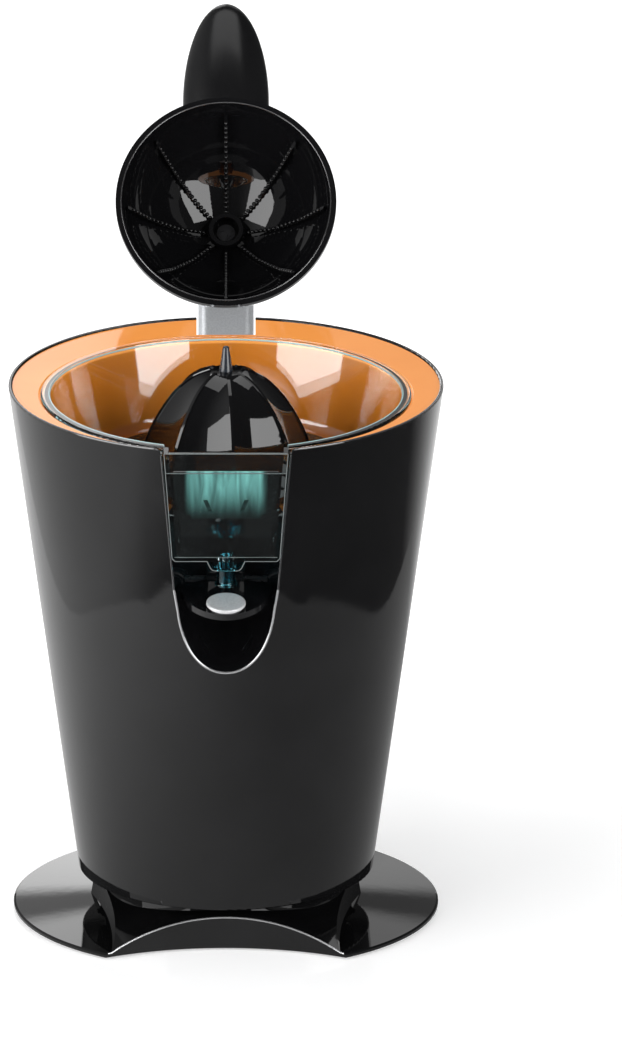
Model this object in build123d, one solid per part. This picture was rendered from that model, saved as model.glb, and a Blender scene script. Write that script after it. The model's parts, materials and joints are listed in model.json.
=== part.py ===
from build123d import *

import os
from math import acos, cos, pi, radians, sin, sqrt, tan

# Millimetres and degrees. +Z is up, -Y is the front, and the origin is on the
# worktop under the axis of the outer shell. The arm is built closed and then
# swung open to its rest pose; the drip lever is built raised and then lowered.

# Outer shell: a cone that widens upwards
RIM_Z = 252.4
RIM_R = 100.0
SHELL_BASE_Z = 20.0
SHELL_BASE_R = 67.9
SHELL_WALL = 1.8
SHELL_RING_R = 53.5  # inside radius of the ring the shell stands on
SHELL_SLOPE = (RIM_R - SHELL_BASE_R) / (RIM_Z - SHELL_BASE_Z)
GAP = 0.15  # between pieces that are fitted inside each other

# Front slot
SLOT_TOP_HALF = 29.9
SLOT_LOW_HALF = 23.8
SLOT_LOW_Z = 182.0
SLOT_WAIST_HALF = 22.0
SLOT_WAIST_Z = 171.0
SLOT_BOTTOM_Z = 141.0
SLOT_CORNER_R = 2.5

# Rear notch for the arm
NOTCH_HALF = 13.6
NOTCH_BOTTOM_Z = 199.0

# Bowl, and the seat it stands in
BOWL_Y = -12.5
BOWL_RIM_R = 85.2
BOWL_MOUTH_R = 81.0
BOWL_WALL = 2.2
BOWL_DRAFT = 0.27
BOWL_LEDGE_Z = 250.2
BOWL_FLOOR_Z = 212.0
BOWL_FLOOR = 2.0
SEAT_GAP = 0.6
SEAT_WALL = 1.8
SEAT_TOP_Z = 251.6
SEAT_DECK_Z = 208.0
SEAT_DECK = 2.0

# Flat window and chute at the front of the bowl
WINDOW_TOP_Z = 251.0
WINDOW_LOW_Z = 197.0
WINDOW_TOP_HALF = 28.3
WINDOW_LOW_HALF = 24.4
WINDOW_TOP_Y = -98.0
WINDOW_LOW_Y = -92.0
WINDOW_WALL = 2.0
CHUTE_BACK_Y = -60.0
SEAT_CUT_HALF = 30.6

# Nozzle
NOZZLE_Y = -86.2
NOZZLE_Z = 184.2
NOZZLE_R = 4.2
NOZZLE_BORE_R = 3.0
NOZZLE_FLANGE_R = 5.2
FUNNEL_R = 5.0
FUNNEL_Z = 193.6
TROUGH_TOP_R = 8.6
TROUGH_LOW_R = 6.4
TROUGH_LOW_Z = 192.3
EAR_X = 7.1
EAR_R = 1.9

# Walls that line the room around the chute
LINER_HALF = 29.0
LINER_WALL = 1.5
LINER_TOP_Z = 249.4
LINER_BACK_Y = -59.7

# Niche behind the slot: an ellipsoidal hollow
NICHE_HALF = 33.0
NICHE_BACK_Y = -48.5
NICHE_LOW_Z = 139.5
NICHE_TOP_Z = 205.6
HOLLOW_Y = -100.0
HOLLOW_Z = 178.0
HOLLOW_SIZE = (30.0, 48.0, 39.0)

# Drip-stop lever
LEVER_Y = -62.0
LEVER_Z = 179.0
LEVER_DROP = 9.5
LEVER_HALF = 21.2
LEVER_ROOT_Y = -70.0
LEVER_TIP_Y = -99.0
LEVER_THICK = 3.0
LEVER_BARREL_R = 3.2
LEVER_BARREL_HALF = 9.0
LEVER_PIN_R = 1.5
LEVER_PIN_HALF = 19.0
PAD_Y = -91.0
PAD_R = 9.0

# Arm
PIVOT_Y = 84.5
PIVOT_Z = 223.2
OPEN_ANGLE = 127.4
ARM_HALF = 13.0
ARM_THICK = 14.0
ARM_RISE = 74.9
ARM_BEND_R = 30.0
ARM_END = 119.0
BARREL_R = 7.0
HINGE_PIN_R = 2.5
RUNNING = 0.05  # radial running clearance
TANG = (14.0, 26.0, 6.0)

# Handle
HANDLE_TIP = 215.7
HANDLE_NOSE = 50.0
HANDLE_TAIL = 62.0
HANDLE_HALF = 20.2
HANDLE_HALF_HEIGHT = 12.5
HANDLE_RISE = 75.4

# Press cup
CUP_RIM_Z = 240.0
CUP_R = 51.3
CUP_MOUTH_R = 48.5
CUP_STEP_R = 36.4
CUP_STEP = 27.0
CUP_DEPTH = 46.8
CUP_WALL = 2.4
CUP_BOSS_R = 8.0
CUP_BOSS = 8.0
CUP_RIBS = 8

# Reamer: (height, ridge radius) from its base to its top
REAMER_SECTIONS = ((221.5, 38.8), (229, 37.5), (237.5, 34), (249.4, 27), (258, 19), (263, 9.5))
REAMER_RIDGES = 8
REAMER_TURN = 5.5
FLUTE_SHARE = 0.93  # valley radius as a share of the ridge radius
REAMER_WALL = 2.6
POINT_TIP_Z = 274.7
POINT_ROOT_R = 3.1
POINT_TIP_R = 1.4
SOCKET_R = 7.0
SOCKET_LOW_Z = 227.5

# Spindle
SPINDLE_R = 4.0
HEX_FLATS = 6.8
HEX_PLAY = 0.1
SPINDLE_LOW_Z = 109.0
SPINDLE_TOP_Z = 243.0
HEX_LOW_Z = 224.0
TOWER_R = 9.0
TOWER_TOP_Z = 219.0
TUBE_BORE_R = 9.6
TUBE_R = 11.4
TUBE_TOP_Z = 222.4

# Strainer
STRAINER_R = 60.0
STRAINER_TOP_Z = 217.4
STRAINER_LOW_Z = 215.6
STRAINER_SLOTS = 28

# Apron that hangs on the strainer behind the window
APRON_TOP_Z = 240.5
APRON_LOW_Z = 219.0
APRON_TOP_HALF = 24.4
APRON_LOW_HALF = 22.8
APRON_THICK = 1.4
APRON_GAP = 3.2
SHELF_HALF = 16.0

# Gear train
MODULE = 1.25
PRESSURE = 22.0
BACKLASH = 0.3
PINION_TEETH = 12
WHEEL_TEETH = 36
SMALL_TEETH = 12
OUTPUT_TEETH = 38
STAGE1_Z = (105.0, 111.0)
STAGE2_Z = (112.5, 120.5)
BASE_PLATE_Z = (100.0, 103.0)
COVER_PLATE_Z = (123.0, 126.0)
GEARBOX_R = 62.0
AXLE_R = 2.0
HUB_R = 7.0

# Motor
MOTOR_Y = 30.0
MOTOR_R = 29.0
MOTOR_Z = (44.0, 98.0)
MOTOR_WALL = 1.5
SHAFT_R = 2.5

# Foot
FOOT_A = 98.0
FOOT_B = 95.0
FOOT_LOW_Z = 0.8
FOOT_SIDE_Z = 1.9
FOOT_EDGE_Z = 2.6
FOOT_HUB_Z = 5.5
FOOT_BEVEL = 0.9
CUT_HALF = 54.0
CUT_NEAR_Y = 65.0
CUT_CORNER_Y = 78.0
# Hub over the foot, from its middle to its front and back: (distance from the middle,
# half the width at the foot, half the width and height of the shoulder, height of the crown)
HUB_SECTIONS = ((0, 63.0, 60.5, 16.0, 20.0), (42, 55.0, 51.5, 9.0, 17.6), (79, 54.0, 52.6, 2.6, 14.2))
PLINTH_R = 57.5
CAVITY_R = 55.0
CAVITY_TOP_Z = 17.0
GLAND_Z = 8.6
GLAND_R = 4.5
GLAND_BORE_R = 3.0
GLAND_BODY_Y = (53.0, 66.5)
GLAND_FLANGE_Y = (65.6, 68.6)


def outline(*corners):
    """A closed flat shape. Each corner is (x, y) or (x, y, rounding radius)."""
    ends = []
    for i, corner in enumerate(corners):
        here = Vector(*corner[:2])
        if len(corner) == 2:
            ends.append((here, None, here))
            continue
        back = (Vector(*corners[i - 1][:2]) - here).normalized()
        ahead = (Vector(*corners[(i + 1) % len(corners)][:2]) - here).normalized()
        half = radians(back.get_angle(ahead)) / 2
        reach = corner[2] / tan(half)
        middle = here + (back + ahead).normalized() * (corner[2] / sin(half) - corner[2])
        ends.append((here + back * reach, middle, here + ahead * reach))
    edges = []
    for i, (start, middle, end) in enumerate(ends):
        if middle is not None:
            edges.append(ThreePointArc(start, middle, end))
        edges.append(Line(end, ends[(i + 1) % len(ends)][0]))
    return make_face(edges)


def turned(*corners, y=0.0):
    """A solid of revolution about the upright line at y; corners are (radius, height)."""
    return Pos(0, y, 0) * revolve(Plane.XZ * outline(*corners), Axis.Z)


def tube(outer, inner, low, high, x=0.0, y=0.0):
    """An upright tube, or a disc where inner is 0."""
    height = high - low
    solid = Pos(x, y, (low + high) / 2) * Cylinder(outer, height)
    if inner:
        solid -= Pos(x, y, (low + high) / 2) * Cylinder(inner, height + 2)
    return solid


def block(x, y, z):
    """A box from its (low, high) pairs."""
    size = [high - low for low, high in (x, y, z)]
    centre = [(high + low) / 2 for low, high in (x, y, z)]
    return Pos(*centre) * Box(*size)


def front_prism(face, y_low, y_high):
    """A shape drawn in the front view (x, z), pushed along Y."""
    return extrude(Plane((0, y_high, 0), x_dir=(1, 0, 0), z_dir=(0, -1, 0)) * face, y_high - y_low)


def side_prism(face, half):
    """A shape drawn in the side view (y, z), pushed to both sides of x = 0."""
    return extrude(Plane((-half, 0, 0), x_dir=(0, 1, 0), z_dir=(1, 0, 0)) * face, 2 * half)


def hexagon(low, high, flats, y=BOWL_Y):
    """An upright hexagonal bar."""
    return Pos(0, y, low) * extrude(RegularPolygon(flats / sqrt(3), 6), high - low)


def shell_r(z):
    """Outer radius of the shell at a height."""
    return RIM_R - SHELL_SLOPE * (RIM_Z - z)


def shell_inside(play, low=SHELL_BASE_Z, high=RIM_Z + 5):
    """The room inside the shell, less some play."""
    off = SHELL_WALL + play
    return turned((0, low), (shell_r(low) - off, low), (shell_r(high) - off, high), (0, high))


def slot_face():
    """Front slot: straight sides that narrow downwards, and a long rounded end."""
    top, corner, half = RIM_Z + 10, SLOT_CORNER_R, SLOT_TOP_HALF
    right = Spline(
        (SLOT_WAIST_HALF, SLOT_WAIST_Z), (17.2, 155.5), (0, SLOT_BOTTOM_Z),
        tangents=[(-0.15, -1), (-1, 0)],
    )
    left = Spline(
        (0, SLOT_BOTTOM_Z), (-17.2, 155.5), (-SLOT_WAIST_HALF, SLOT_WAIST_Z),
        tangents=[(-1, 0), (-0.15, 1)],
    )
    edges = [right, left, Line((-half - corner, top), (half + corner, top))]
    for side in (-1, 1):
        edges += [
            Polyline((side * SLOT_WAIST_HALF, SLOT_WAIST_Z), (side * SLOT_LOW_HALF, SLOT_LOW_Z),
                     (side * half, RIM_Z - corner)),
            ThreePointArc(
                (side * half, RIM_Z - corner),
                (side * (half + corner * (1 - cos(pi / 4))), RIM_Z - corner * (1 - sin(pi / 4))),
                (side * (half + corner), RIM_Z),
            ),
            Line((side * (half + corner), RIM_Z), (side * (half + corner), top)),
        ]
    return make_face(edges)


def bowl_outer_r(z):
    """Outer radius of the bowl's wall at a height."""
    return BOWL_MOUTH_R + BOWL_WALL - BOWL_DRAFT * (BOWL_LEDGE_Z - z)


# ---- housing ----

def outer_shell():
    low, high, wall = SHELL_BASE_Z, RIM_Z, SHELL_WALL
    shell = turned(
        (shell_r(low), low, 0.8), (shell_r(high), high, 0.7), (shell_r(high) - wall, high, 0.7),
        (shell_r(low + 2.5) - wall, low + 2.5), (SHELL_RING_R, low + 2.5), (SHELL_RING_R, low),
    )
    shell -= front_prism(slot_face(), -110, -50)
    notch = outline(
        (-NOTCH_HALF, NOTCH_BOTTOM_Z, 3), (NOTCH_HALF, NOTCH_BOTTOM_Z, 3),
        (NOTCH_HALF, RIM_Z + 5), (-NOTCH_HALF, RIM_Z + 5),
    )
    return shell - front_prism(notch, 60, 110)


def seat_recess_r(z):
    """Inner radius of the seat's funnel at a height."""
    return bowl_outer_r(z) + SEAT_GAP


def bowl_seat():
    ledge = BOWL_LEDGE_Z - 0.3
    low = SEAT_DECK_Z
    seat = turned(
        (TOWER_R - 2, low - SEAT_DECK), (seat_recess_r(low) + SEAT_WALL, low - SEAT_DECK, 3),
        (seat_recess_r(ledge) + SEAT_WALL, SEAT_TOP_Z - 2), (RIM_R + 20, SEAT_TOP_Z - 2),
        (RIM_R + 20, SEAT_TOP_Z), (BOWL_RIM_R + 0.5, SEAT_TOP_Z, 0.4), (BOWL_RIM_R + 0.5, ledge),
        (seat_recess_r(ledge), ledge), (seat_recess_r(low), low, 2), (TOWER_R, low, 1),
        (TOWER_R, TOWER_TOP_Z), (TOWER_R - 2, TOWER_TOP_Z),
        y=BOWL_Y,
    )
    seat &= shell_inside(0.02)
    seat -= block((-SEAT_CUT_HALF, SEAT_CUT_HALF), (-120, CHUTE_BACK_Y + 2), (190, 260))
    return seat - block((-NOTCH_HALF, NOTCH_HALF), (74.9, 120), (190, 260))


def niche_slab():
    """The block that the niche is hollowed from, trimmed to the inside of the shell."""
    face = outline(
        (-NICHE_HALF, NICHE_TOP_Z), (-NICHE_HALF, SLOT_WAIST_Z - 14, 12), (-14, NICHE_LOW_Z, 16),
        (14, NICHE_LOW_Z, 16), (NICHE_HALF, SLOT_WAIST_Z - 14, 12), (NICHE_HALF, NICHE_TOP_Z),
    )
    return front_prism(face, -100, NICHE_BACK_Y) & shell_inside(0.02)


def chute_liner():
    """Walls that stand on the niche beside and behind the chute, clear of the bowl."""
    outer = LINER_HALF + LINER_WALL
    liner = block((-outer, outer), (-110, LINER_BACK_Y + 1.6), (NICHE_TOP_Z - 6, LINER_TOP_Z))
    liner &= shell_inside(0.02)
    bowl_room = turned(
        (0, BOWL_FLOOR_Z - 0.4), (bowl_outer_r(BOWL_FLOOR_Z) + 0.5, BOWL_FLOOR_Z - 0.4),
        (bowl_outer_r(RIM_Z) + 0.5, RIM_Z), (0, RIM_Z), y=BOWL_Y,
    )
    return liner - bowl_room


def spout_niche():
    hollow = Pos(0, HOLLOW_Y, HOLLOW_Z) * scale(Sphere(1), HOLLOW_SIZE)
    niche = niche_slab() - hollow + chute_liner()
    niche -= block((-LINER_HALF, LINER_HALF), (-120, LINER_BACK_Y), (193, RIM_Z))
    pin = Pos(0, LEVER_Y, LEVER_Z) * Rot(0, 90, 0) * Cylinder(LEVER_PIN_R, 2 * LEVER_PIN_HALF)
    return niche - pin


def arm_bracket():
    body = block((-26, 26), (70, 100), (189, 236)) & shell_inside(0.02)
    body -= turned(
        (0, 180), (seat_recess_r(190) + SEAT_WALL + GAP, 180),
        (seat_recess_r(245) + SEAT_WALL + GAP, 245), (0, 245), y=BOWL_Y,
    )
    body -= block((-NOTCH_HALF, NOTCH_HALF), (60, 110), (196, 240))
    pin = Pos(0, PIVOT_Y, PIVOT_Z) * Rot(0, 90, 0) * Cylinder(HINGE_PIN_R, 36)
    return body - pin


def hinge_pin():
    return Pos(0, PIVOT_Y, PIVOT_Z) * Rot(0, 90, 0) * Cylinder(HINGE_PIN_R, 36)


def lever_pin():
    return Pos(0, LEVER_Y, LEVER_Z) * Rot(0, 90, 0) * Cylinder(LEVER_PIN_R, 2 * LEVER_PIN_HALF)


# ---- foot ----

def foot_wings():
    """The foot's thin oval disc with a bevelled edge, rising slightly towards the hub."""
    side = extrude(Pos(0, 0, FOOT_LOW_Z) * Ellipse(FOOT_A, FOOT_B), FOOT_SIDE_Z - FOOT_LOW_Z)
    bevel = loft([
        Pos(0, 0, FOOT_SIDE_Z) * Ellipse(FOOT_A, FOOT_B),
        Pos(0, 0, FOOT_EDGE_Z) * Ellipse(FOOT_A - FOOT_BEVEL, FOOT_B - FOOT_BEVEL),
    ])
    top = loft([
        Pos(0, 0, FOOT_EDGE_Z) * Ellipse(FOOT_A - FOOT_BEVEL, FOOT_B - FOOT_BEVEL),
        Pos(0, 0, FOOT_HUB_Z) * Ellipse(CUT_HALF, CUT_HALF - 2),
    ])
    return side + bevel + top


def foot_hub(side):
    """The vaulted hub from the foot's middle to its front (side -1) or back (side 1)."""
    sections = []
    for away, foot, shoulder, low, high in HUB_SECTIONS:
        face = make_face([
            ThreePointArc((-shoulder, low), (0, high), (shoulder, low)),
            Polyline((shoulder, low), (foot, FOOT_LOW_Z), (-foot, FOOT_LOW_Z), (-shoulder, low)),
        ])
        sections.append(Plane((0, side * away, 0), x_dir=(1, 0, 0), z_dir=(0, -1, 0)) * face)
    return loft(sections)


def foot_cut(side):
    """The round bite out of the foot's front (side -1) or back (side 1)."""
    sagitta = CUT_CORNER_Y - CUT_NEAR_Y
    radius = (CUT_HALF**2 + sagitta**2) / (2 * sagitta)
    return Pos(0, side * (CUT_NEAR_Y + radius), 10) * Cylinder(radius, 60)


def foot_plate():
    foot = foot_wings() + foot_hub(-1) + foot_hub(1)
    foot += tube(PLINTH_R, 0, FOOT_LOW_Z, SHELL_BASE_Z)
    foot -= foot_cut(-1)
    foot -= foot_cut(1)
    foot -= tube(CAVITY_R, 0, 0, CAVITY_TOP_Z)
    for x, y in foot_spots():
        foot -= tube(6, 0, 0, 1.8, x, y)
    foot -= gland_rod(GLAND_R, CAVITY_R - 8, FOOT_B)
    for x, y in leg_spots():
        foot -= tube(1.6, 0, 10, 30, x, y)
    return foot


def foot_spots():
    return [(sx * 76, sy * 24) for sx in (-1, 1) for sy in (-1, 1)]


def leg_spots():
    return [(48 * cos(radians(a)), 48 * sin(radians(a))) for a in (45, 135, 225, 315)]


def base_cover():
    cover = tube(CAVITY_R - GAP, 0, 1.0, 3.0)
    for x, y in screw_spots():
        cover -= tube(1.7, 0, 0, 4, x, y)
        cover += tube(4.2, 1.7, 3.0, CAVITY_TOP_Z, x, y)
    return cover


def screw_spots():
    return [(42 * cos(radians(a)), 42 * sin(radians(a))) for a in (0, 90, 180, 270)]


def base_screws():
    return Compound([tube(1.6, 0, 1.2, 16, x, y).solid() for x, y in screw_spots()])


def rubber_feet():
    return Compound([tube(6, 0, 0, 1.8, x, y).solid() for x, y in foot_spots()])


def non_slip_ring():
    return tube(37, 31, 0, 1.0)


def gland_rod(radius, near, far):
    """A round bar along Y on the cable gland's line."""
    return Pos(0, (near + far) / 2, GLAND_Z) * Rot(90, 0, 0) * Cylinder(radius, far - near)


def cable_gland():
    gland = gland_rod(GLAND_R, *GLAND_BODY_Y) + gland_rod(GLAND_R + 1.6, *GLAND_FLANGE_Y)
    return gland - foot_back() - gland_rod(GLAND_BORE_R, 0, FOOT_B)


def foot_back():
    """Foot material in front of the rear bite, which the gland's flange sits against."""
    around = block((-15, 15), (CAVITY_R - 5, CUT_NEAR_Y + 5), (0, 20)) - foot_cut(1)
    return around - gland_rod(GLAND_R, 0, FOOT_B)


# ---- motor and gears ----

def compound_spot():
    """Where the compound gear's axle stands: in mesh with the output gear and the pinion."""
    to_output = MODULE * (SMALL_TEETH + OUTPUT_TEETH) / 2
    to_pinion = MODULE * (PINION_TEETH + WHEEL_TEETH) / 2
    span = MOTOR_Y - BOWL_Y
    along = (to_output**2 - to_pinion**2 + span**2) / (2 * span)
    return sqrt(to_output**2 - along**2), BOWL_Y + along


def gear(teeth, low, high, facing, tooth_there, x, y):
    """A spur gear with an involute form. facing is the direction to its mate, in radians,
    and tooth_there says whether a tooth or a gap points that way."""
    pitch_r = MODULE * teeth / 2
    base_r = pitch_r * cos(radians(PRESSURE))
    root_r = pitch_r - 1.25 * MODULE
    tip_r = pitch_r + 0.9 * MODULE

    def roll(r):
        angle = acos(min(1.0, base_r / r))
        return tan(angle) - angle

    def half_width(r):
        at_pitch = pi / (2 * teeth) - BACKLASH / (4 * pitch_r)
        return at_pitch + roll(pitch_r) - roll(max(r, base_r))

    start_r = max(base_r, root_r + 0.1)
    radii = [root_r] + [start_r + (tip_r - start_r) * share for share in (0, 0.5, 1)]
    points = []
    for i in range(teeth):
        middle = facing + 2 * pi * (i + (0 if tooth_there else 0.5)) / teeth
        points += [(r * cos(middle - half_width(r)), r * sin(middle - half_width(r))) for r in radii]
        points += [
            (r * cos(middle + half_width(r)), r * sin(middle + half_width(r)))
            for r in reversed(radii)
        ]
    return Pos(x, y, low) * extrude(make_face(Polyline(*points, close=True)), high - low)


def direction(from_spot, to_spot):
    vector = Vector(to_spot[0] - from_spot[0], to_spot[1] - from_spot[1])
    angle = acos(vector.X / vector.length)
    return angle if vector.Y >= 0 else -angle


def output_gear():
    centre = (0, BOWL_Y)
    wheel = gear(OUTPUT_TEETH, *STAGE2_Z, direction(centre, compound_spot()), False, *centre)
    wheel += tube(HUB_R, 0, BASE_PLATE_Z[1] + 0.2, COVER_PLATE_Z[1] + 1, 0, BOWL_Y)
    wheel += tube(HUB_R - 2, 0, BASE_PLATE_Z[1] - 1.5, BASE_PLATE_Z[1] + 0.5, 0, BOWL_Y)
    return wheel - hexagon(90, 140, HEX_FLATS + HEX_PLAY * 2)


def compound_gear():
    spot = compound_spot()
    big = gear(WHEEL_TEETH, *STAGE1_Z, direction(spot, (0, MOTOR_Y)), False, *spot)
    small = gear(SMALL_TEETH, STAGE1_Z[1], STAGE2_Z[1], direction(spot, (0, BOWL_Y)), True, *spot)
    low, high = BASE_PLATE_Z[1] + 0.3, COVER_PLATE_Z[0] - 0.3
    return big + small + tube(4.5, 0, low, high, *spot) - tube(AXLE_R + RUNNING, 0, 90, 140, *spot)


def pinion():
    spot = (0, MOTOR_Y)
    wheel = gear(PINION_TEETH, *STAGE1_Z, direction(spot, compound_spot()), True, *spot)
    return wheel - tube(SHAFT_R, 0, 90, 140, *spot)


def gear_axle():
    return tube(AXLE_R, 0, BASE_PLATE_Z[0] + 0.5, COVER_PLATE_Z[1], *compound_spot())


def gearbox_base():
    low, high = BASE_PLATE_Z
    plate = tube(GEARBOX_R, 0, low, high)
    for x, y in leg_spots():
        plate += tube(4.5, 0, SHELL_BASE_Z, low, x, y)
        plate -= tube(1.6, 0, SHELL_BASE_Z - 2, SHELL_BASE_Z + 12, x, y)
    plate -= tube(HUB_R - 2 + RUNNING, 0, high - 1.7, high + 1, 0, BOWL_Y)
    plate -= tube(SHAFT_R + 2, 0, low - 1, high + 1, 0, MOTOR_Y)
    for x, y in box_screw_spots():
        plate -= tube(1.5, 0, low + 0.5, high + 1, x, y)
    return plate - tube(AXLE_R, 0, low + 0.5, high + 1, *compound_spot())


def box_screw_spots():
    return [(57 * cos(radians(a)), 57 * sin(radians(a))) for a in (10, 80, 190, 260)]


def gearbox_cover():
    low, high = COVER_PLATE_Z
    cover = tube(GEARBOX_R, 0, BASE_PLATE_Z[1], high) - tube(GEARBOX_R - 2, 0, 90, low)
    for x, y in box_screw_spots():
        cover += tube(4, 0, BASE_PLATE_Z[1], low, x, y)
        cover -= tube(1.5, 0, 90, high + 1, x, y)
    cover -= tube(HUB_R + RUNNING, 0, low - 1, high + 1, 0, BOWL_Y)
    cover -= tube(SHAFT_R + 1, 0, low - 1, high + 1, 0, MOTOR_Y)
    return cover - tube(AXLE_R, 0, low - 1, high + 1, *compound_spot())


def gearbox_screws():
    return Compound([
        (tube(1.5, 0, BASE_PLATE_Z[0] + 0.5, COVER_PLATE_Z[1], x, y)
         + tube(3, 0, COVER_PLATE_Z[1], COVER_PLATE_Z[1] + 2, x, y)).solid()
        for x, y in box_screw_spots()
    ])


def leg_screws():
    return Compound([
        tube(1.6, 0, CAVITY_TOP_Z, SHELL_BASE_Z + 12, x, y).solid() for x, y in leg_spots()
    ])


def motor_can():
    low, high = MOTOR_Z
    can = tube(MOTOR_R, 0, low, high, 0, MOTOR_Y)
    can -= tube(MOTOR_R - MOTOR_WALL, 0, low - 1, high - 2, 0, MOTOR_Y)
    can -= tube(SHAFT_R + RUNNING, 0, high - 3, high + 3, 0, MOTOR_Y)
    return can + tube(8, SHAFT_R + RUNNING, high, BASE_PLATE_Z[0], 0, MOTOR_Y)


def motor_end_cap():
    low = MOTOR_Z[0]
    inner = MOTOR_R - MOTOR_WALL
    return tube(inner, SHAFT_R + RUNNING, low, low + 3, 0, MOTOR_Y)


def motor_stator():
    return tube(MOTOR_R - MOTOR_WALL, 20.5, MOTOR_Z[0] + 8, MOTOR_Z[1] - 9, 0, MOTOR_Y)


def rotor_core():
    return tube(20, SHAFT_R, MOTOR_Z[0] + 8, MOTOR_Z[1] - 9, 0, MOTOR_Y)


def rotor_shaft():
    return tube(SHAFT_R, 0, MOTOR_Z[0] - 3, STAGE1_Z[1] + 2, 0, MOTOR_Y)


# ---- spindle and switch ----

def drive_spindle():
    spindle = hexagon(SPINDLE_LOW_Z, 142, HEX_FLATS)
    spindle += tube(SPINDLE_R, 0, 142, HEX_LOW_Z, 0, BOWL_Y)
    spindle += tube(7, 0, 152.3, 154.3, 0, BOWL_Y)
    return spindle + hexagon(HEX_LOW_Z, SPINDLE_TOP_Z, HEX_FLATS)


def switch_plate():
    plate = tube(10, 0, 150, 152, 0, BOWL_Y)
    plate += block((0, 34), (BOWL_Y - 5, BOWL_Y + 5), (150, 152))
    return plate - tube(SPINDLE_R + RUNNING, 0, 140, 160, 0, BOWL_Y)


def spindle_spring():
    low = COVER_PLATE_Z[1] + 0.75
    coil = Pos(0, BOWL_Y, low) * Helix(pitch=4.48, height=22.4, radius=8.3)
    start = coil @ 0
    section = Plane(origin=start, z_dir=coil % 0) * Circle(0.7)
    return sweep(section, path=coil, is_frenet=True)


def spindle_bush():
    return tube(TOWER_R - 2, SPINDLE_R + RUNNING, TOWER_TOP_Z - 12, TOWER_TOP_Z, 0, BOWL_Y)


def shaft_seal():
    seal = turned(
        (SPINDLE_R + RUNNING, TOWER_TOP_Z), (TOWER_R - 0.4, TOWER_TOP_Z),
        (TOWER_R - 0.4, TOWER_TOP_Z + 0.8, 0.3), (SPINDLE_R + 1.2, TOWER_TOP_Z + 1.8),
        (SPINDLE_R + RUNNING, TOWER_TOP_Z + 1.8), y=BOWL_Y,
    )
    return seal


def micro_switch():
    z = COVER_PLATE_Z[1]
    body = block((22, 36), (BOWL_Y - 8, BOWL_Y + 8), (z, z + 18))
    return body - tube(1.6, 0, z + 8, z + 20, 29, BOWL_Y)


def switch_button():
    return tube(1.5, 0, COVER_PLATE_Z[1] + 13, 150, 29, BOWL_Y)


# ---- bowl ----

def window_y(z, inset):
    """Where the window's sloping front is at a height, moved back by inset."""
    slope = (WINDOW_LOW_Y - WINDOW_TOP_Y) / (WINDOW_TOP_Z - WINDOW_LOW_Z)
    return WINDOW_LOW_Y + inset - slope * (z - WINDOW_LOW_Z)


def window_solid(inset, floor_z, top_z):
    """The flat-fronted chute as a solid, shrunk by inset on its front and sides."""
    lean = (WINDOW_TOP_HALF - WINDOW_LOW_HALF) / (WINDOW_TOP_Z - WINDOW_LOW_Z)

    def half(z):
        return WINDOW_LOW_HALF - inset + lean * (z - WINDOW_LOW_Z)

    face = outline(
        (-half(floor_z), floor_z, 2), (half(floor_z), floor_z, 2),
        (half(top_z), top_z), (-half(top_z), top_z),
    )
    side = outline(
        (window_y(floor_z, inset), floor_z), (CHUTE_BACK_Y - inset, floor_z),
        (CHUTE_BACK_Y - inset, top_z), (window_y(top_z, inset), top_z),
    )
    return front_prism(face, -110, CHUTE_BACK_Y - inset) & side_prism(side, 40)


def juice_bowl():
    floor, top = BOWL_FLOOR_Z, BOWL_FLOOR_Z + BOWL_FLOOR
    inner = bowl_outer_r(top) - BOWL_WALL
    outer_body = turned(
        (0, floor), (bowl_outer_r(floor), floor, 8), (bowl_outer_r(BOWL_LEDGE_Z), BOWL_LEDGE_Z),
        (BOWL_RIM_R, BOWL_LEDGE_Z, 0.4), (BOWL_RIM_R, RIM_Z, 1.2), (0, RIM_Z), y=BOWL_Y,
    )
    rim_cut = block((-WINDOW_TOP_HALF, WINDOW_TOP_HALF), (-120, -60), (WINDOW_TOP_Z, 260))
    hollow = turned(
        (0, top), (inner, top, 6), (BOWL_MOUTH_R, RIM_Z), (BOWL_MOUTH_R, RIM_Z + 3), (0, RIM_Z + 3),
        y=BOWL_Y,
    )
    bowl = outer_body - rim_cut + window_solid(0, WINDOW_LOW_Z, WINDOW_TOP_Z)
    bowl -= hollow
    bowl -= window_solid(WINDOW_WALL, WINDOW_LOW_Z + WINDOW_WALL, 262)
    bowl += tube(TUBE_R, 0, floor, TUBE_TOP_Z, 0, BOWL_Y)
    bowl -= tube(TUBE_BORE_R, 0, floor - 5, TUBE_TOP_Z + 5, 0, BOWL_Y)
    return bowl - tube(FUNNEL_R, 0, WINDOW_LOW_Z - 5, WINDOW_LOW_Z + WINDOW_WALL + 0.2, 0, NOZZLE_Y)


def spout_nozzle():
    """The nozzle under the chute: a trough with a flat front, an ear on each side and a tube."""
    low = NOZZLE_Z
    nozzle = turned(
        (NOZZLE_BORE_R, low), (NOZZLE_FLANGE_R, low, 0.4), (NOZZLE_FLANGE_R, low + 1.3, 0.4),
        (NOZZLE_R, low + 1.3, 0.6), (NOZZLE_R, TROUGH_LOW_Z, 0.5), (TROUGH_LOW_R, TROUGH_LOW_Z, 0.8),
        (TROUGH_TOP_R, WINDOW_LOW_Z), (FUNNEL_R, WINDOW_LOW_Z), (FUNNEL_R, FUNNEL_Z),
        (NOZZLE_BORE_R, FUNNEL_Z), y=NOZZLE_Y,
    )
    for side in (-1, 1):
        spot = Pos(side * EAR_X, NOZZLE_Y, TROUGH_LOW_Z + 0.6)
        nozzle += spot * Rot(90, 0, 0) * Cylinder(EAR_R, 2.4)
    return nozzle - block((-10, 10), (-110, WINDOW_LOW_Y + 0.1), (190, 200))


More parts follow.
